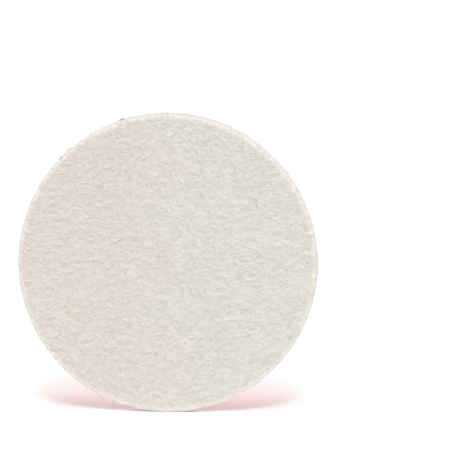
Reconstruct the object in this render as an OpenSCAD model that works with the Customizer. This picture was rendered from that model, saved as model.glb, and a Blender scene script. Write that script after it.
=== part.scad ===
// Felt polishing wheel with a hook-and-loop back.
//
// Four layers are laminated as wide sheets and then die-cut together into one round wheel:
// a thick pressed felt that polishes, a hot-melt film that glues it down, a knitted ground
// cloth, and the brushed loops that grow out of that cloth and grip a hook pad.
//
// Frame: the origin is the centre of the loop face, where the hook pad takes hold. +Y is the
// spin axis and points out of the loop back, so the felt face looks along -Y. +Z is up.
// Heights below are measured from the loop face towards the felt face.

/* [Wheel] */
// Diameter that the laminate is die-cut to
wheel_d = 125; // [75:1:200]

/* [Felt] */
// Thickness of the pressed felt
felt_t = 7; // [4:0.5:15]
// Radius of the softened rim around the working face
felt_rim_r = 1.5; // [0.3:0.1:3]
// How far the cutting die leaves the felt's wall pinched in
felt_waist = 0.3; // [0.05:0.05:0.8]

/* [Bond] */
// Thickness of the hot-melt film
film_t = 0.15; // [0.1:0.01:0.5]
// How far the film draws back from the cut rim
film_inset = 0.4; // [0.1:0.1:2]

/* [Loop backing] */
// Thickness of the knitted ground cloth
cloth_t = 0.4; // [0.2:0.05:1]
// Height of the brushed loops over the ground cloth
pile_h = 1; // [0.6:0.1:2.5]
// Radius of the pile's outer corner, where the end loops lean out
pile_rim_r = 0.4; // [0.1:0.1:1]

/* [Hidden] */
$fn = 128;

wheel_r = wheel_d / 2;

// Each layer starts where the one behind it ends.
cloth_z = pile_h;
film_z = cloth_z + cloth_t;
felt_z = film_z + film_t;
wheel_t = felt_z + felt_t;

// A corner radius never takes more than this share of its layer's thickness.
rim_share = 0.6;
felt_corner = min(felt_rim_r, rim_share * felt_t);
pile_corner = min(pile_rim_r, rim_share * pile_h);

// Steps along the drawn arcs of the outlines.
corner_steps = 8;
waist_steps = 10;

// Points on an arc about [cx, cy], from one angle to the other, in the outline's plane.
function arc(cx, cy, r, from, to, steps) =
    [for (i = [0 : steps])
        let (a = from + (to - from) * i / steps)
        [cx + r * cos(a), cy + r * sin(a)]];

// The pinched wall bows inwards on a circle whose sagitta is felt_waist.
wall_h = felt_t - felt_corner;
waist_r = (pow(wall_h / 2, 2) + pow(felt_waist, 2)) / (2 * felt_waist);
waist_half_angle = asin(wall_h / 2 / waist_r);

// Turns an outline about the spin axis: its x is the radius and its y is the height
// over the loop face, which runs towards -Y.
module turned() {
    rotate([90, 0, 0])
        rotate_extrude()
            children();
}

// A plain round layer from one height to the next.
module layer(radius, from, thickness) {
    turned()
        translate([0, from])
            square([radius, thickness]);
}

// The polishing layer: a flat back, a slightly pinched cut wall and a softened face rim.
module felt_disc() {
    wall = arc(wheel_r + waist_r - felt_waist, felt_z + wall_h / 2, waist_r,
        180 + waist_half_angle, 180 - waist_half_angle, waist_steps);
    rim = arc(wheel_r - felt_corner, wheel_t - felt_corner, felt_corner, 0, 90, corner_steps);
    // The wall's last point is the rim's first, so the rim leaves it out.
    rim_on = [for (i = [1 : corner_steps]) rim[i]];
    color("#E1DAD3")
        turned()
            polygon(concat([[0, felt_z]], wall, rim_on, [[0, wheel_t]]));
}

// The glue line between the felt and the cloth.
module bond_film() {
    color("#D9C9A8")
        layer(wheel_r - film_inset, film_z, film_t);
}

// The ground that the loops are knitted into.
module backing_cloth() {
    color("#B5140A")
        layer(wheel_r, cloth_z, cloth_t);
}

// The space that the brushed loops fill, with a soft outer corner.
module loop_pile() {
    corner = arc(wheel_r - pile_corner, pile_corner, pile_corner, 270, 360, corner_steps);
    color("#F11103")
        turned()
            polygon(concat([[0, 0]], corner, [[wheel_r, cloth_z], [0, cloth_z]]));
}

felt_disc();
bond_film();
backing_cloth();
loop_pile();
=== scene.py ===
# %% [markdown]
# # A felt polishing wheel with a hook-and-loop back
#
# The real wheel starts as wide sheets. A thick pressed felt is glued to a knitted cloth with a
# film of hot-melt, and the cloth's back is brushed into loops that grip a hook pad. One stroke
# of a round die then cuts all the layers together. This lesson builds the wheel the same way,
# layer by layer, around the plain CAD solids that fix its size.

# %% Load the plain wheel
import math

import bpy
import numpy as np
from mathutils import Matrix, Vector


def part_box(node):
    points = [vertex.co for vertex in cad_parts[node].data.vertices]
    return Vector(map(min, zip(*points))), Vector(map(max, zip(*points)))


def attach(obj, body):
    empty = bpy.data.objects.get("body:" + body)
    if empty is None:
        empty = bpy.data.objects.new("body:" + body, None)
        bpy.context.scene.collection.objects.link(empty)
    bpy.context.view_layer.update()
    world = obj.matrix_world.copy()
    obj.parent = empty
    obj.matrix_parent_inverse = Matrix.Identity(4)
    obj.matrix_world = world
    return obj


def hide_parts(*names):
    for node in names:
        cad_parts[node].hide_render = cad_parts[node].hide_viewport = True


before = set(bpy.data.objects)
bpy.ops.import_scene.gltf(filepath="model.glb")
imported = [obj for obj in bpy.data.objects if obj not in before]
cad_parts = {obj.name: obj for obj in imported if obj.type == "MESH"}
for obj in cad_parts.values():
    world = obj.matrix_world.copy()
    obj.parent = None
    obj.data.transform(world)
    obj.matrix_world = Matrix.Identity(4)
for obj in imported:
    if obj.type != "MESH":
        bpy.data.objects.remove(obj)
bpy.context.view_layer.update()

# %% [markdown]
# ## Where each layer lies
#
# The CAD model has already settled where every layer starts and ends, so the script asks for
# those places and repeats none of them. The spin axis is +Y. The felt face looks along -Y and
# the loops look along +Y. Blender counts in metres, so small sizes are written times MM.

# %% Read the layers' places
MM = 0.001
felt_low, felt_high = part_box("felt_disc")
film_low, film_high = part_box("bond_film")
cloth_low, cloth_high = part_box("backing_cloth")
pile_low, pile_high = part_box("loop_pile")

face_y = felt_low.y
felt_back_y = felt_high.y
wheel_r = cloth_high.z
film_r = film_high.z
floor_z = cloth_low.z
print("felt %.2f mm, film %.2f mm, cloth %.2f mm, loops %.2f mm" % (
    (felt_back_y - face_y) / MM, (film_high.y - film_low.y) / MM,
    (cloth_high.y - cloth_low.y) / MM, (pile_high.y - pile_low.y) / MM))

# %% [markdown]
# ## Noise that runs along the fibres
#
# Wool felt has no threads. Its fibres are carded into a web that lies mostly one way, and
# pressing then pushes them into slow swirls. `noise` reads a lattice of random numbers
# smoothly, and `rim_noise` bends it round the wheel. `combed` averages that noise over a short
# way along the fibres, which draws each round blot out a little.

# %% Helpers for noise
LATTICE = 1024


def noise(across, up, cell, seed, repeat=LATTICE):
    """Smooth noise from -1 to 1 over a plane, which repeats across after so many cells."""
    table = np.random.default_rng(seed).uniform(-1, 1, (LATTICE, LATTICE))
    column, row = np.floor(across / cell).astype(int), np.floor(up / cell).astype(int)
    right, top = across / cell - column, up / cell - row
    right, top = right * right * (3 - 2 * right), top * top * (3 - 2 * top)
    near, far = column % repeat, (column + 1) % repeat
    low, high = row % LATTICE, (row + 1) % LATTICE
    bottom = table[near, low] * (1 - right) + table[far, low] * right
    upper = table[near, high] * (1 - right) + table[far, high] * right
    return bottom * (1 - top) + upper * top


def rim_noise(places, length, height, seed):
    """Noise round the wheel, in whole cells of about length by height, so that it has no seam."""
    cells = round(2 * math.pi * wheel_r / length)
    turn = np.arctan2(places[:, 2], places[:, 0]) / (2 * math.pi) + 0.5
    return noise(turn * cells, places[:, 1] / height, 1, seed, cells)


def nap_angle(across, up):
    """The direction in which the felt's fibres lie: nearly level, with slow swirls."""
    lean = math.radians(3)
    swirl = math.radians(9) * noise(across, up, 17 * MM, 11)
    eddy = math.radians(9) * noise(across, up, 5 * MM, 12)
    return lean + swirl + eddy


def combed(across, up, cell, reach, seed):
    """Noise drawn out along the fibres by up to reach each way, with a spread of about 1."""
    steps = 7
    total = noise(across, up, cell, seed)
    for way in (1, -1):
        x, z = across.copy(), up.copy()
        for _ in range(steps):
            angle = nap_angle(x, z)
            x += way * reach / steps * np.cos(angle)
            z += way * reach / steps * np.sin(angle)
            total += noise(x, z, cell, seed)
    return total / total.std()


# %% [markdown]
# ## A round slab with one fine face
#
# Every layer of the wheel is a round slab. A cylinder would meet its caps in one fan of long
# triangles, which can't hold any relief. So the rim is a circle that is extruded along the
# layer's own edge profile, and the face that shows is a square grid pressed into a disc. The
# two are welded where they meet, and the hidden back is one flat face.

# %% Helpers for slabs


def start_clean():
    """Leaves nothing selected, because an operator acts on all that is."""
    if bpy.context.object and bpy.context.object.mode != "OBJECT":
        bpy.ops.object.mode_set(mode="OBJECT")
    bpy.ops.object.select_all(action="DESELECT")


def places_of(piece):
    """The piece's vertices as an array with one row to each."""
    found = np.empty(len(piece.data.vertices) * 3)
    piece.data.vertices.foreach_get("co", found)
    return found.reshape(-1, 3)


def put_places(piece, places):
    """Moves the vertices to new places, but none of them into the floor."""
    places[:, 2] = np.maximum(places[:, 2], floor_z)
    piece.data.vertices.foreach_set("co", places.astype(np.float32).ravel())
    piece.data.update()


def normals_of(piece):
    """The direction in which the surface faces at each vertex, with one row to each."""
    found = np.empty(len(piece.data.vertices) * 3, np.float32)
    piece.data.vertex_normals.foreach_get("vector", found)
    return found.reshape(-1, 3).astype(float)


def pressed_grid(cells, radius, y):
    """A square grid pressed into a disc, so that its edge is an evenly divided circle."""
    bpy.ops.mesh.primitive_grid_add(x_subdivisions=cells, y_subdivisions=cells, size=2,
                                    rotation=(math.pi / 2, 0, 0))
    bpy.ops.object.transform_apply(location=True, rotation=True, scale=True)
    grid = bpy.context.object
    places = places_of(grid)
    across, up = places[:, 0], places[:, 2]
    ring = np.maximum(np.abs(across), np.abs(up))
    beside = np.abs(across) >= np.abs(up)
    main, other = np.where(beside, across, up), np.where(beside, up, across)
    eighth = math.pi / 4 * other / np.where(main == 0, 1, main)
    angle = np.where(beside, eighth, math.pi / 2 - eighth) + math.pi * (main < 0)
    grid_places = np.stack([radius * ring * np.cos(angle), np.full(len(ring), y),
                            radius * ring * np.sin(angle)], 1)
    put_places(grid, grid_places)
    return grid


def round_slab(name, profile, around, fine=True):
    """A closed slab. The profile runs from the edge of its first face to the edge of its back."""
    weld_within = 0.01 * MM
    start_clean()
    radius, y = profile[0]
    bpy.ops.mesh.primitive_circle_add(vertices=around, radius=radius, location=(0, y, 0),
                                      rotation=(math.pi / 2, 0, 0))
    piece = bpy.context.object
    piece.name = piece.data.name = name
    bpy.ops.object.transform_apply(location=True, rotation=True, scale=True)
    bpy.ops.object.mode_set(mode="EDIT")
    bpy.ops.mesh.select_all(action="SELECT")
    if not fine:
        bpy.ops.mesh.edge_face_add()
        bpy.ops.mesh.select_mode(type="EDGE")
    for next_radius, next_y in profile[1:]:
        bpy.ops.mesh.extrude_edges_move(TRANSFORM_OT_translate={"value": (0, next_y - y, 0)})
        grow = next_radius / radius
        bpy.ops.transform.resize(value=(grow, 1, grow), center_override=(0, next_y, 0))
        radius, y = next_radius, next_y
    bpy.ops.mesh.edge_face_add()
    bpy.ops.object.mode_set(mode="OBJECT")
    if fine:
        grid = pressed_grid(around // 4, *profile[0])
        grid.select_set(True)
        piece.select_set(True)
        bpy.context.view_layer.objects.active = piece
        bpy.ops.object.join()
    bpy.ops.object.mode_set(mode="EDIT")
    bpy.ops.mesh.select_all(action="SELECT")
    bpy.ops.mesh.remove_doubles(threshold=weld_within)
    bpy.ops.mesh.normals_make_consistent(inside=False)
    bpy.ops.object.mode_set(mode="OBJECT")
    bpy.ops.object.shade_smooth()
    return piece


def arc(radius, y, wide, deep, start, end, steps):
    """(radius, y) points round an oval arc. Angle 0 points outwards, 90 along +Y."""
    angles = np.radians(np.linspace(start, end, steps + 1))
    return [(radius + wide * math.cos(a), y + deep * math.sin(a)) for a in angles]


def keep_value(piece, name, values):
    """Stores one number at each vertex, which the piece's material can read."""
    kept = piece.data.attributes.new(name, "FLOAT", "POINT")
    kept.data.foreach_set("value", np.asarray(values, np.float32))


def mark_rim(piece):
    """Stores how near each vertex is to the rim: 0 on the face, 1 in the last 0.9 mm."""
    places = places_of(piece)
    rim_starts, rim_fades = wheel_r - 2.4 * MM, 1.5 * MM
    away = np.hypot(places[:, 0], places[:, 2])
    keep_value(piece, "rim", np.clip((away - rim_starts) / rim_fades, 0, 1))


# %% [markdown]
# ## The pressed felt
#
# The felt is the working layer: a dense slab with a softened rim, whose wall the die has
# pinched in a little. It is too stiff to sag or to fill like a cushion, so a cloth simulation
# would add nothing. Its relief is what matters, because light from above catches every slope.
# Fine crinkles of about half a millimetre cover the face, with waves and shallow dents under
# them, and the cut wall shows the level layers of the carded web.

# %% Shape the felt
felt_t = felt_back_y - face_y
rim_r = 1.5 * MM
waist = 0.3 * MM
felt_around = 1920
rim_steps = 7
wall_steps = 22

rim = arc(wheel_r - rim_r, face_y + rim_r, rim_r, rim_r, -90, 0, rim_steps)
wall_y, wall_t = face_y + rim_r, felt_t - rim_r
wall_shares = [s / wall_steps for s in range(1, wall_steps + 1)]
wall = [(wheel_r - waist * math.sin(math.pi * share), wall_y + wall_t * share) for share in wall_shares]
felt = round_slab("felt_body", rim + wall, felt_around)
print("felt:", len(felt.data.vertices), "vertices before its relief")

# %% [markdown]
# The relief moves each vertex along its own normal. A weight blends the face's crinkles into
# the wall's level layers around the softened rim, so no edge shows between the two. A `tanh`
# keeps the rare high spots within the felt's real unevenness. The material later reads three
# numbers that are kept at each vertex: how high the relief stands, which paints shade into its
# hollows, how cool the wool is there, and how near it is to the rim. The hidden back stays flat on the glue.

# %% Raise the felt's relief
places, facing = places_of(felt), normals_of(felt)
x, y, z = places.T
blend_gain, blend_cut = 1.25, 0.1
on_face = np.clip(-facing[:, 1] * blend_gain - blend_cut, 0, 1)
flat_band = 0.2 * MM
on_back = y > felt_back_y - flat_band

crinkles = combed(x, z, 0.70 * MM, 0.4 * MM, 1)
fine_crinkles = combed(x, z, 0.45 * MM, 0.25 * MM, 2)
waves = combed(x, z, 1.6 * MM, 1.0 * MM, 3)
dents = noise(x, z, 5 * MM, 4)
face_relief = MM * (0.105 * crinkles + 0.08 * fine_crinkles + 0.14 * waves + 0.15 * dents)
layers = rim_noise(places, 9 * MM, 0.9 * MM, 5) + 0.6 * rim_noise(places, 1.6 * MM, 0.7 * MM, 6)
wall_relief = MM * (0.05 * layers + 0.05 * rim_noise(places, 4 * MM, 4 * MM, 7))
most = 0.7 * MM
relief = most * np.tanh((on_face * face_relief + (1 - on_face) * wall_relief) / most)
relief[on_back] = 0
put_places(felt, places + facing * relief[:, None])

# Painted shade: the colour turns darker where the relief is low, in the hollows between the locks and in the
# low layers of the wall.
face_hollow_shade = 0.05 * crinkles + 0.03 * fine_crinkles + 0.02 * waves
keep_value(felt, "hollow_shade", np.clip(0.5 + on_face * face_hollow_shade + (1 - on_face) * 0.15 * layers, 0, 1))
cool_from, cool_over = -11 * MM, 55 * MM
coolness = 0.5 + (x - cool_from) / cool_over + 0.35 * noise(x, z, 20 * MM, 8)
keep_value(felt, "coolness", np.clip(coolness, 0, 1))
mark_rim(felt)
print("felt relief from %.3f to %.3f mm" % (relief.min() / MM, relief.max() / MM))

# %% [markdown]
# ## Loose fibres
#
# A felt's surface is a mat of single fibres, crimped and crossing. One fibre is about 0.03 mm
# thick, which is too fine to show, so each one here stands for a small lock of them. A lock is
# a three-sided strand, drawn out along a wavy path and narrowed at each end. A few kinds are
# modelled with operators, and thousands of copies are then laid on the felt.

# %% Model a few kinds of fibre


def mesh_arrays(piece):
    """The vertices and triangles of a modelled strand, which is then removed."""
    same_point = 0.001 * MM
    bpy.ops.object.mode_set(mode="EDIT")
    bpy.ops.mesh.select_all(action="SELECT")
    bpy.ops.mesh.remove_doubles(threshold=same_point)
    bpy.ops.mesh.normals_make_consistent(inside=False)
    bpy.ops.mesh.quads_convert_to_tris()
    bpy.ops.object.mode_set(mode="OBJECT")
    triangles = np.empty(len(piece.data.polygons) * 3, np.int32)
    piece.data.polygons.foreach_get("vertices", triangles)
    found = places_of(piece), triangles.reshape(-1, 3)
    bpy.data.objects.remove(piece)
    return found


def fibre_kind(length, thickness, crimp, phase, lift):
    """A closed strand along X that waves sideways and bows up by lift at its middle."""
    start_clean()
    spans, waviness, tip = 4, 5, 0.3
    bpy.ops.mesh.primitive_circle_add(vertices=3, radius=thickness / 2, fill_type="NGON",
                                      rotation=(0, math.pi / 2, 0))
    piece = bpy.context.object
    bpy.ops.object.transform_apply(location=True, rotation=True, scale=True)
    bpy.ops.object.mode_set(mode="EDIT")
    bpy.ops.mesh.select_all(action="SELECT")
    bpy.ops.transform.translate(value=(-length / 2, crimp * math.sin(phase), 0))
    bpy.ops.transform.resize(value=(1, tip, tip))
    for span in range(1, spans + 1):
        before, now = (span - 1) / spans, span / spans
        side = crimp * (math.sin(phase + waviness * now) - math.sin(phase + waviness * before))
        rise = lift * (math.sin(math.pi * now) - math.sin(math.pi * before))
        step = (length / spans, side, rise)
        bpy.ops.mesh.extrude_region_move(TRANSFORM_OT_translate={"value": step})
        grow = {1: 1 / tip, spans: tip}.get(span, 1)
        bpy.ops.transform.resize(value=(1, grow, grow))
    return mesh_arrays(piece)


fibre_thick, fibre_lift = 0.08 * MM, 0.03 * MM
fibre_kinds = []
for k in range(5):
    length, crimp, phase = (0.7 + 0.22 * k) * MM, (0.05 + 0.03 * k) * MM, 1.3 * k
    fibre_kinds.append(fibre_kind(length, fibre_thick, crimp, phase, fibre_lift))
print("a fibre has", len(fibre_kinds[0][1]), "triangles")

# %% [markdown]
# Copies are laid on the faces of a finished piece. Each one takes its place from a random face,
# its up direction from that face's normal, and its heading from the nap with some scatter. A
# copy that would reach into the floor is left out.

# %% Helper that strews strands over a piece


def unit(vectors):
    """The same directions, each with a length of one."""
    return vectors / np.maximum(np.linalg.norm(vectors, axis=1, keepdims=True), 1e-12)


def strew(name, kinds, spots, normals, headings, rng, sizes=(0.8, 1.2), pitch=0.0):
    """One piece that holds a copy of some kind at each spot, turned to its normal and heading."""
    flat = unit(headings - normals * (headings * normals).sum(1, keepdims=True))
    ahead = unit(flat * math.cos(pitch) + normals * math.sin(pitch))
    side = np.cross(normals, ahead)
    above = np.cross(ahead, side)
    chosen = rng.integers(len(kinds), size=len(spots))
    scale = rng.uniform(*sizes, len(spots))
    all_places, all_faces, tones, count, laid = [], [], [], 0, 0
    for number, (shape, triangles) in enumerate(kinds):
        mine = np.flatnonzero(chosen == number)
        local = shape[None] * scale[mine, None, None]
        copies = (spots[mine, None] + local[:, :, :1] * ahead[mine, None]
                  + local[:, :, 1:2] * side[mine, None] + local[:, :, 2:] * above[mine, None])
        copies = copies[copies[:, :, 2].min(1) > floor_z]
        offsets = count + len(shape) * np.arange(len(copies))
        all_places.append(copies.reshape(-1, 3))
        all_faces.append((triangles[None] + offsets[:, None, None]).reshape(-1, 3))
        tones.append(np.repeat(rng.uniform(0, 1, len(copies)), len(shape)))
        count += len(shape) * len(copies)
        laid += len(copies)
    mesh = bpy.data.meshes.new(name)
    mesh.from_pydata(np.concatenate(all_places), [], np.concatenate(all_faces))
    mesh.polygons.foreach_set("use_smooth", np.ones(len(mesh.polygons), bool))
    piece = bpy.data.objects.new(name, mesh)
    bpy.context.scene.collection.objects.link(piece)
    keep_value(piece, "tone", np.concatenate(tones))
    mark_rim(piece)
    print(name, "has", laid, "strands and", len(mesh.polygons), "triangles")
    return piece


def scattered_spots(piece, count, rng, wanted):
    """Random faces of a piece, by area, among those that wanted(centres, normals) allows."""
    faces = piece.data.polygons
    centres, normals = np.empty(len(faces) * 3), np.empty(len(faces) * 3)
    areas = np.empty(len(faces))
    faces.foreach_get("center", centres)
    faces.foreach_get("normal", normals)
    faces.foreach_get("area", areas)
    centres, normals = centres.reshape(-1, 3), normals.reshape(-1, 3)
    weights = areas * wanted(centres, normals)
    picked = rng.choice(len(faces), size=count, p=weights / weights.sum())
    jitter = rng.normal(0, 0.12 * MM, (count, 3))
    jitter -= normals[picked] * (jitter * normals[picked]).sum(1, keepdims=True)
    return centres[picked] + jitter, normals[picked]


def looks_forward(centres, normals):
    """Which faces belong to the working side and its softened rim."""
    return normals[:, 1] < -0.3


def nap_headings(spots, rng, scatter):
    """Directions along the felt's nap, each turned by a random angle."""
    angle = nap_angle(spots[:, 0], spots[:, 2]) + rng.normal(0, scatter, len(spots))
    return np.stack([np.cos(angle), np.zeros(len(angle)), np.sin(angle)], 1)


# %% [markdown]
# The face gets most of the fibres. They lie almost flat, two in three of them within 30 degrees
# of the nap, and go in as three pieces, which keeps each piece small enough to load with ease.

# %% Lay the fibres of the face and its rim
rng = np.random.default_rng(20)
face_fibres, fibre_scatter = 5400, math.radians(30)
fibre_pieces = []
for number in range(3):
    spots, normals = scattered_spots(felt, face_fibres, rng, looks_forward)
    headings = nap_headings(spots, rng, fibre_scatter)
    fibre_pieces.append(strew("felt_fibres_%d" % (number + 1), fibre_kinds,
                              spots + normals * 0.005 * MM, normals, headings, rng))

# %% [markdown]
# The die cuts across the web, so the wall shows the layers edge on and its fibres lie round the
# wheel. Some hairs also stand out from the rim, where the die has torn and not cut. They are
# made like the other strands, but thinner, and moved so that they grow from one end.

# %% Lay the fibres of the wall, and the hairs of the rim


def round_headings(spots, rng, scatter):
    """Directions round the wheel, each turned towards the axis by a random share."""
    around = unit(np.stack([-spots[:, 2], np.zeros(len(spots)), spots[:, 0]], 1))
    return around + rng.normal(0, scatter, len(spots))[:, None] * np.array([0, 1, 0])


wall_fibres, wall_end = 3600, felt_back_y - 0.1 * MM
spots, normals = scattered_spots(
    felt, wall_fibres, rng, lambda c, n: (np.abs(n[:, 1]) < 0.6) & (c[:, 1] < wall_end))
fibre_pieces.append(strew("felt_wall_fibres", fibre_kinds, spots, normals,
                          round_headings(spots, rng, 0.25), rng))

hair_thick, hair_crimp, hair_lift = 0.05 * MM, 0.12 * MM, 0.12 * MM
hair_kinds = []
for k in range(3):
    length, phase = (0.9 + 0.3 * k) * MM, 2.1 * k
    shape, triangles = fibre_kind(length, hair_thick, hair_crimp, phase, hair_lift)
    hair_kinds.append((shape + np.array([length / 2, 0, 0]), triangles))
rim_hairs, hairs_end, hair_pitch = 900, felt_back_y - 0.3 * MM, math.radians(28)
spots, normals = scattered_spots(
    felt, rim_hairs, rng, lambda c, n: (np.abs(n[:, 1]) < 0.85) & (c[:, 1] < hairs_end))
fibre_pieces.append(strew("felt_rim_hairs", hair_kinds, spots, normals,
                          round_headings(spots, rng, 0.8), rng, pitch=hair_pitch))

# %% [markdown]
# ## The glue line
#
# The hot-melt film is a thin sheet that melts between the felt and the cloth. Only its rim can
# be seen, in the groove between the two, and there it is ragged: the melt creeps out in some
# places and draws back in others. A many-sided slab with a wandering rim shows that.

# %% Shape the glue line
film_around = 900
film_middle = (film_low.y + film_high.y) / 2
film_rim = [(film_r, film_low.y), (film_r + 0.05 * MM, film_middle), (film_r, film_high.y)]
film = round_slab("glue_film", film_rim, film_around, fine=False)
places = places_of(film)
creep = 0.20 * rim_noise(places, 2.5 * MM, 2.5 * MM, 31)
creep += 0.12 * rim_noise(places, 0.9 * MM, 0.9 * MM, 32)
places[:, [0, 2]] *= 1 + (creep * MM / film_r)[:, None]
put_places(film, places)

# %% [markdown]
# ## The ground cloth
#
# The loops grow out of a warp-knitted nylon ground. It lies flat on the glue as one round
# sheet, so it needs no simulation. Its face carries the upright ribs and the level courses of
# the knit, and its cut edge is a row of small stitch ends. All of these are two to four times
# coarser than the real half-millimetre stitch: one stitch end to the millimetre, courses 1.5 mm
# apart and ribs 2 mm apart.

# %% Shape the ground cloth
cloth_around = 800
cloth_t = cloth_high.y - cloth_low.y
cloth_edge = arc(wheel_r - cloth_t / 2 - 0.1 * MM, (cloth_low.y + cloth_high.y) / 2,
                 cloth_t / 2, cloth_t / 2, 90, -90, 4)
cloth = round_slab("knit_ground_cloth", cloth_edge, cloth_around)
places, facing = places_of(cloth), normals_of(cloth)
x, y, z = places.T
stitch = 0.5 * MM
rib_apart, course_apart, end_apart = 4 * stitch, 3 * stitch, 2 * stitch
ribs = np.cos(2 * math.pi * x / rib_apart) + 0.5 * np.cos(2 * math.pi * z / course_apart)
ends_round = round(2 * math.pi * wheel_r / end_apart)
stitch_ends = np.cos(ends_round * np.arctan2(z, x)) + rim_noise(places, 1.4 * MM, 1.4 * MM, 33)
at_edge = np.hypot(x, z) > wheel_r - cloth_t
relief = np.where(at_edge, 0.035 * stitch_ends, 0.02 * (ribs - 1.5)) * MM
relief[facing[:, 1] < -0.9] = 0
put_places(cloth, places + facing * relief[:, None])

# %% [markdown]
# ## The brushed loops
#
# Brushing raises the back yarns of the knit into a dense pile of small loops. At their feet
# they mat together, so a lumpy mat comes first, a little below the loops' tips. The cut lets it
# droop towards the rim over the last two millimetres.

# %% Shape the mat that the loops stand on
mat_drop = 0.40 * MM
mat_around = 1120
mat_top = pile_high.y - mat_drop
droop_wide, droop_deep = 2.2 * MM, 0.4 * MM
mat_r = wheel_r - 0.15 * MM
mat_edge = arc(mat_r - droop_wide, mat_top - droop_deep, droop_wide, droop_deep, 90, 0, 8)
mat_edge.append((mat_r, pile_low.y))
mat = round_slab("loop_mat", mat_edge, mat_around)
places, facing = places_of(mat), normals_of(mat)
x, y, z = places.T
lumps = noise(x, z, 0.55 * MM, 41) + 0.7 * noise(x, z, 1.1 * MM, 42) + 0.4 * noise(x, z, 5 * MM, 43)
edge_lumps = rim_noise(places, 0.6 * MM, 0.6 * MM, 44)
upward = np.clip(facing[:, 1], 0, 1)
relief = MM * (upward * 0.09 * lumps + (1 - upward) * 0.08 * edge_lumps)
relief[facing[:, 1] < -0.5] = 0
put_places(mat, places + facing * relief[:, None])
mark_rim(mat)
print("loop mat:", len(mat.data.polygons), "faces")

# %% [markdown]
# The loops stand on the mat. A real loop is a bundle of filaments about 0.15 mm thick and half a
# millimetre wide. Here it is a three-sided wire, spun through half a turn, with its crown pushed
# over to one side as brushing leaves it. A few kinds are enough, as every copy is turned and
# scaled by chance.

# %% Model a few kinds of loop


def loop_kind(width, height, thickness, push):
    """Half a turn of round yarn that stands on its two feet, with its crown pushed sideways."""
    start_clean()
    bpy.ops.mesh.primitive_circle_add(vertices=3, radius=thickness / 2, fill_type="NGON",
                                      location=(width / 2, 0, 0))
    piece = bpy.context.object
    bpy.ops.object.transform_apply(location=True, rotation=True, scale=True)
    bpy.ops.object.mode_set(mode="EDIT")
    bpy.ops.mesh.select_all(action="SELECT")
    bpy.ops.mesh.spin(steps=4, angle=math.pi, center=(0, 0, 0), axis=(0, 1, 0))
    bpy.ops.mesh.select_all(action="SELECT")
    bpy.ops.transform.resize(value=(1, 1, 2 * height / width), center_override=(0, 0, 0))
    bpy.ops.object.mode_set(mode="OBJECT")
    for share, part in ((0.5, 0.4), (0.85, 0.6)):
        for vertex in piece.data.vertices:
            vertex.select = vertex.co.z > share * height
        bpy.ops.object.mode_set(mode="EDIT")
        bpy.ops.mesh.select_mode(type="VERT")
        bpy.ops.transform.translate(value=(0, push * part, 0))
        bpy.ops.object.mode_set(mode="OBJECT")
    return mesh_arrays(piece)


yarn_thick = 0.15 * MM
loop_kinds = []
for k in range(5):
    width, height, push = (0.45 + 0.07 * k) * MM, (0.42 + 0.05 * (k % 3)) * MM, (0.1 + 0.08 * k) * MM
    loop_kinds.append(loop_kind(width, height, yarn_thick, push))
print("a loop has", len(loop_kinds[0][1]), "triangles")

# %% [markdown]
# Brushing leaves the loops facing every way, so their headings are random. Their feet are sunk a
# little into the mat.

# %% Stand the loops on the mat
rng = np.random.default_rng(50)
mat_loops, sunk = 7000, 0.21
loop_pieces = []
for number in range(3):
    spots, normals = scattered_spots(mat, mat_loops, rng, lambda c, n: n[:, 1] > 0.2)
    headings = unit(rng.normal(0, 1, (len(spots), 3)))
    loop_pieces.append(strew("brushed_loops_%d" % (number + 1), loop_kinds,
                             spots - normals * sunk * MM, normals, headings, rng))

# %% [markdown]
# The end loops lean out over the rim. Nearly all of them keep within it, a few reach past it, and
# in three places the die has pulled out a small tuft, which shows from the front as a red speck.

# %% Stand loops round the rim
rim_loops, share_out, tuft_loops = 1500, 0.01, 14
usual_back, out_back, tuft_back = 0.85 * MM, 0.3 * MM, 0.12 * MM
tuft_places, tuft_spread = np.radians([108, 132, 136]), math.radians(0.5)
edge_angle = rng.uniform(0, 2 * math.pi, rim_loops)
reaches_out = rng.uniform(0, 1, len(edge_angle)) < share_out
set_back = np.where(reaches_out, out_back, usual_back)
tuft_angle = np.repeat(tuft_places, tuft_loops)
tuft_angle += rng.normal(0, tuft_spread, len(tuft_angle))
edge_angle = np.concatenate([edge_angle, tuft_angle])
set_back = np.concatenate([set_back, np.full(len(tuft_angle), tuft_back)])
outward = np.stack([np.cos(edge_angle), np.zeros(len(edge_angle)), np.sin(edge_angle)], 1)
spots = outward * (wheel_r - set_back)[:, None]
spots[:, 1] = rng.uniform(pile_low.y + 0.1 * MM, mat_top, len(spots))
normals = unit(outward + np.array([0, 0.5, 0]))
headings = unit(rng.normal(0, 1, (len(spots), 3)))
loop_pieces.append(strew("rim_loops", loop_kinds, spots, normals, headings, rng))

# %% [markdown]
# The loops also shed lint. Short ends of it cling to the felt here and there, at any angle.

# %% Strew the shed lint
lint_ends = 90
spots, normals = scattered_spots(felt, lint_ends, rng, looks_forward)
lint = strew("shed_red_lint", fibre_kinds, spots + normals * 0.05 * MM, normals,
             nap_headings(spots, rng, 1.0), rng, sizes=(0.5, 0.9))

# %% [markdown]
# ## Colours and materials
#
# Hex colours are sRGB, and Cycles wants linear light, so `linear` turns them. `add_node` adds a
# node, sets its values and links its sockets, and that is all a material needs. The rest save
# repeating the same few nodes in each material.

# %% Helpers for materials


def linear(colour):
    """A #RRGGBB colour as linear red, green, blue and alpha."""
    parts = [int(colour[i:i + 2], 16) / 255 for i in (1, 3, 5)]
    return [c / 12.92 if c <= 0.04045 else ((c + 0.055) / 1.055) ** 2.4 for c in parts] + [1]


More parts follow.
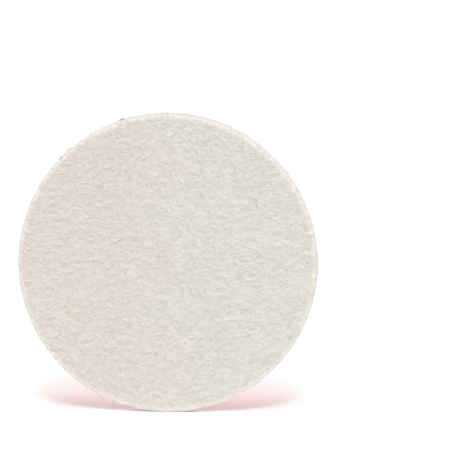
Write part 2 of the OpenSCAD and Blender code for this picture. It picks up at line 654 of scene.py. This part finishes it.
def add_node(tree, kind, settings=None, links=None):
    """Adds a node. Settings name its sockets, by name or number, or its own properties."""
    node = tree.nodes.new(kind)
    for key, value in (settings or {}).items():
        if isinstance(key, str) and hasattr(node, key):
            setattr(node, key, value)
    for key, value in (settings or {}).items():
        if not isinstance(key, str) or not hasattr(node, key):
            node.inputs[key].default_value = value
    for key, source in (links or {}).items():
        tree.links.new(source, node.inputs[key])
    return node


def new_material(name, settings):
    """A material with one Principled shader, its tree and that shader."""
    material = bpy.data.materials.new(name)
    material.use_nodes = True
    tree = material.node_tree
    shader = tree.nodes["Principled BSDF"]
    for key, value in settings.items():
        shader.inputs[key].default_value = value
    return material, tree, shader


def pattern_places(tree, stretch=(1, 1, 1)):
    """Object coordinates, stretched for a pattern."""
    coordinates = add_node(tree, "ShaderNodeTexCoord")
    return add_node(tree, "ShaderNodeMapping", {"Scale": stretch},
                    {"Vector": coordinates.outputs["Object"]}).outputs["Vector"]


def noise_pattern(tree, size, detail, stretch=(1, 1, 1), distortion=0.0):
    """A noise of about that size in metres, as a socket that runs from 0 to 1."""
    settings = {"Scale": 1 / size, "Detail": detail, "Distortion": distortion}
    return add_node(tree, "ShaderNodeTexNoise", settings,
                    {"Vector": pattern_places(tree, stretch)}).outputs["Fac"]


def stored(tree, name):
    """The number that keep_value stored at each vertex under that name, as a socket."""
    return add_node(tree, "ShaderNodeAttribute", {"attribute_name": name}).outputs["Fac"]


def mix(tree, share, low, high):
    """A socket that blends two colours. Each one is a plain colour or another socket."""
    given = {6: low, 7: high}
    settings = {key: value for key, value in given.items() if isinstance(value, list)}
    links = {key: value for key, value in given.items() if not isinstance(value, list)}
    return add_node(tree, "ShaderNodeMix", {"data_type": "RGBA", **settings}, {0: share, **links}).outputs[2]


def finish(tree, shader, colour, height=None, strength=1.0, distance=0.0):
    """Gives the shader its colour and, where there is a height, a bump that deep in metres."""
    tree.links.new(colour, shader.inputs["Base Color"])
    if height is not None:
        bump = add_node(tree, "ShaderNodeBump", {"Strength": strength, "Distance": distance},
                        {"Height": height})
        tree.links.new(bump.outputs["Normal"], shader.inputs["Normal"])


# %% [markdown]
# Pressed wool felt is undyed wool: cream, matt and slightly fuzzy against the light. The hollows
# between the locks are painted darker, as painted shade, and the wool's own tint drifts from warm
# to cool across the wheel. The rim is paler, partly for its loosened fibres, which scatter more
# light, and partly as a painted highlight where light catches the rounded rim. A soft bump, as
# coarse as the crinkles are, deepens their shading.

# %% Pressed wool felt
# Undyed pressed wool: keratin has an index of 1.55, and the fibre ends give a soft sheen.
wool = {"IOR": 1.55, "Specular IOR Level": 0.2, "Sheen Weight": 0.5, "Sheen Roughness": 0.5}
# Paler rim: partly the loosened fibres' own paler colour, partly a painted highlight where light catches the
# rounded rim.
pale_rim_and_highlight = "#EAE6E0"
felt_finish, tree, shader = new_material("pressed_wool_felt", {"Roughness": 0.95, **wool})
drift, hollow_shade = stored(tree, "coolness"), stored(tree, "hollow_shade")
high_colour = mix(tree, drift, linear("#E8E0D8"), linear("#E7E3DD"))
low_colour = mix(tree, drift, linear("#D6CCC3"), linear("#D5CFC8"))
# Painted shade: the colour darkens where the relief is low.
colour = mix(tree, hollow_shade, low_colour, high_colour)
colour = mix(tree, stored(tree, "rim"), colour, linear(pale_rim_and_highlight))
# The grain is 1.3 mm long and 0.8 mm across here, where a real fibre is only 0.03 mm thick.
grain = noise_pattern(tree, 0.8 * MM, detail=1, stretch=(0.6, 1, 1), distortion=0.4)
finish(tree, shader, colour, grain, 1.0, 0.45 * MM)
felt.data.materials.append(felt_finish)

# %% [markdown]
# The loose fibres are the same wool. Each lock of them has its own tone.

# %% Loose wool fibres
# Undyed wool again, a little smoother, because single fibres aren't pressed.
wool_finish, tree, shader = new_material("loose_wool_fibres", {"Roughness": 0.85, **wool})
colour = mix(tree, stored(tree, "tone"), linear("#E0D9D1"), linear("#EAE4DD"))
# The paler rim, partly painted highlight, reaches the loose fibres too.
colour = mix(tree, stored(tree, "rim"), colour, linear(pale_rim_and_highlight))
finish(tree, shader, colour)
for piece in fibre_pieces:
    piece.data.materials.append(wool_finish)

# %% [markdown]
# The loops are nylon dyed a hot red. Each one is a little lighter or darker than the next,
# the pile has deeper patches where it was brushed the other way, and towards the rim it takes
# more light and looks more orange. Dyed yarn has hardly any shine of its own, because thousands
# of round filaments scatter what they reflect.

# %% Brushed nylon loops
# Nylon has an index of 1.53. The dye takes nearly all green and blue out of the light.
# Painted highlight: the pile turns lighter and more orange towards the rim, where it takes more light.
orange_rim_highlight = "#FF2605"
loop_finish, tree, shader = new_material("brushed_nylon_loops_red", {
    "Roughness": 0.75, "IOR": 1.53, "Specular IOR Level": 0.04})
patches = noise_pattern(tree, 6 * MM, detail=2)
shade = add_node(tree, "ShaderNodeMath", {"operation": "MULTIPLY_ADD", 1: 1.6, 2: -0.55}, {0: patches})
shade = add_node(tree, "ShaderNodeMath", {"operation": "MULTIPLY_ADD", 1: 0.5, "use_clamp": True},
                 {0: stored(tree, "tone"), 2: shade.outputs[0]})
colour = mix(tree, shade.outputs[0], linear("#EC0B00"), linear("#F81401"))
colour = mix(tree, stored(tree, "rim"), colour, linear(orange_rim_highlight))
finish(tree, shader, colour)
for piece in loop_pieces:
    piece.data.materials.append(loop_finish)

# %% [markdown]
# The mat of loop feet is the same red yarn, in blotches of about a millimetre. The shed lint on
# the felt is that nylon too, but so thin that the wool shines through it and turns it pink.

# %% Matted loop feet and stray lint
# The same dyed nylon, matted.
mat_finish, tree, shader = new_material("matted_loop_feet_red", {
    "Roughness": 0.9, "IOR": 1.53, "Specular IOR Level": 0.05})
blotch = noise_pattern(tree, 1.2 * MM, detail=3)
colour = mix(tree, blotch, linear("#EA0C00"), linear("#FA1501"))
# The same painted highlight turns the mat orange towards the rim.
colour = mix(tree, stored(tree, "rim"), colour, linear(orange_rim_highlight))
finish(tree, shader, colour, blotch, 0.6, 0.1 * MM)
mat.data.materials.append(mat_finish)

# The same dyed nylon, as single filaments over wool.
lint_finish, tree, shader = new_material("stray_nylon_lint", {
    "Roughness": 0.8, "IOR": 1.53, "Specular IOR Level": 0.1})
finish(tree, shader, mix(tree, stored(tree, "tone"), linear("#E5C0B4"), linear("#DB9A8E")))
lint.data.materials.append(lint_finish)

# %% [markdown]
# The ground cloth is knitted from the same yarn, but it lies in the groove under the loops, so its
# colour is painted deeper and browner, as painted shade. Its yarns run in bands 0.63 mm apart, near
# the real stitch. A wave texture of scale one has its bands pi / 10 apart, so the pitch is divided into
# that.

# %% Knitted ground
# Dyed nylon knit, painted darker and browner as the shade of the groove.
ground_finish, tree, shader = new_material("knitted_nylon_ground_red", {
    "Roughness": 0.8, "IOR": 1.53, "Specular IOR Level": 0.1})
yarn_pitch = 0.2 * math.pi * MM
yarns = add_node(tree, "ShaderNodeTexWave",
                 {"Scale": math.pi / 10 / yarn_pitch, "Distortion": 2.0, "Detail": 2.0},
                 {"Vector": pattern_places(tree)}).outputs["Fac"]
finish(tree, shader, mix(tree, yarns, linear("#9E0D05"), linear("#C4170A")), yarns, 0.5, 0.1 * MM)
cloth.data.materials.append(ground_finish)

# %% [markdown]
# Hot-melt film is a cloudy amber, with more shine than anything else on the wheel.

# %% Hot-melt film
# Polyamide hot-melt has an index of 1.5.
film_finish, tree, shader = new_material("hot_melt_film", {"Roughness": 0.4, "IOR": 1.5})
cloud = noise_pattern(tree, 3 * MM, detail=2)
finish(tree, shader, mix(tree, cloud, linear("#CDBB97"), linear("#DCCFB4")))
film.data.materials.append(film_finish)

# %% [markdown]
# ## The stage
#
# The wheel stands on its rim on a pale floor, under a pale and even sky. Studios use sheets of
# white acrylic lit from below, which bury most of a shadow in light, so the floor glows a little.

# %% Floor and sky
floor_wide = 12
start_clean()
bpy.ops.mesh.primitive_plane_add(size=floor_wide, location=(0, 0, floor_z))
floor = bpy.context.object
floor.name = "studio_floor"
# White acrylic, lit from below.
floor_finish, tree, shader = new_material("glowing_white_acrylic", {
    "Roughness": 0.9, "Specular IOR Level": 0.1, "Emission Color": (1, 1, 1, 1), "Emission Strength": 0.15})
grain = noise_pattern(tree, 25 * MM, detail=2)
finish(tree, shader, mix(tree, grain, linear("#F6F6F6"), linear("#F8F8F8")))
floor.data.materials.append(floor_finish)

world = bpy.data.worlds.new("pale_studio")
bpy.context.scene.world = world
world.use_nodes = True
sky = world.node_tree.nodes["Background"].inputs
sky["Color"].default_value = (1, 1, 1, 1)
sky["Strength"].default_value = 0.28

# %% [markdown]
# Three wide lamps act as soft boxes. The key stands in front and above, and brings out the felt's
# relief. The top one throws the shadow on the floor behind the wheel. The back one keeps that
# shadow pale, and sends red light from the loops down onto it.

# %% Light


def direction(azimuth, elevation):
    """The way towards something at those angles in degrees, where azimuth 0 is in front."""
    a, e = math.radians(azimuth), math.radians(elevation)
    return Vector((math.sin(a) * math.cos(e), -math.cos(a) * math.cos(e), math.sin(e)))


def soft_sun(name, azimuth, elevation, spread, strength):
    """A distant lamp, wide enough to act as a soft box that lights the whole floor alike."""
    light = bpy.data.lights.new(name, "SUN")
    light.angle = math.radians(spread)
    light.energy = strength
    lamp = bpy.data.objects.new(name, light)
    lamp.rotation_euler = direction(azimuth, elevation).to_track_quat("Z", "Y").to_euler()
    bpy.context.scene.collection.objects.link(lamp)


soft_sun("key_box", 5, 47, 16, 1.38)
soft_sun("top_box", 0, 78, 34, 1.3)
soft_sun("back_box", 170, 22, 30, 1.2)

# %% [markdown]
# The camera stands a little to the right of the wheel's axis and a little above it. Its long lens
# keeps the wheel's outline close to a circle. It aims to the right of the wheel's centre and
# above it, which leaves the wheel standing low and left in the picture.

# %% Camera
azimuth, elevation = 4, 6.5
lens, camera_away, far_clip = 240, 1.247, 50
aim_right, aim_up = 24.1, 16.2
back = direction(azimuth, elevation)
right = Vector((-back.y, back.x, 0)).normalized()
up = back.cross(right)
face_centre = Vector((0, face_y, 0))
aim = face_centre + right * aim_right * MM + up * aim_up * MM
camera_data = bpy.data.cameras.new("studio_camera")
camera_data.lens = lens
camera_data.clip_end = far_clip
camera = bpy.data.objects.new("studio_camera", camera_data)
camera.location = aim + back * camera_away
camera.rotation_euler = (-back).to_track_quat("-Z", "Y").to_euler()
bpy.context.scene.collection.objects.link(camera)
bpy.context.scene.camera = camera
bpy.context.scene.view_settings.view_transform = "Standard"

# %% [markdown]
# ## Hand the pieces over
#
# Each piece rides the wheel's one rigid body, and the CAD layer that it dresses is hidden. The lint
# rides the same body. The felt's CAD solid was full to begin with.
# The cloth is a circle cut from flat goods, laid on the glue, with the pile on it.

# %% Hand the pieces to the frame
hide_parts("felt_disc")
for piece in [felt, *fibre_pieces]:
    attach(piece, "root")
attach(lint, "root")
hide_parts("bond_film")
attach(film, "root")
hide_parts("backing_cloth")
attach(cloth, "root")
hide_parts("loop_pile")
for piece in [mat, *loop_pieces]:
    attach(piece, "root")
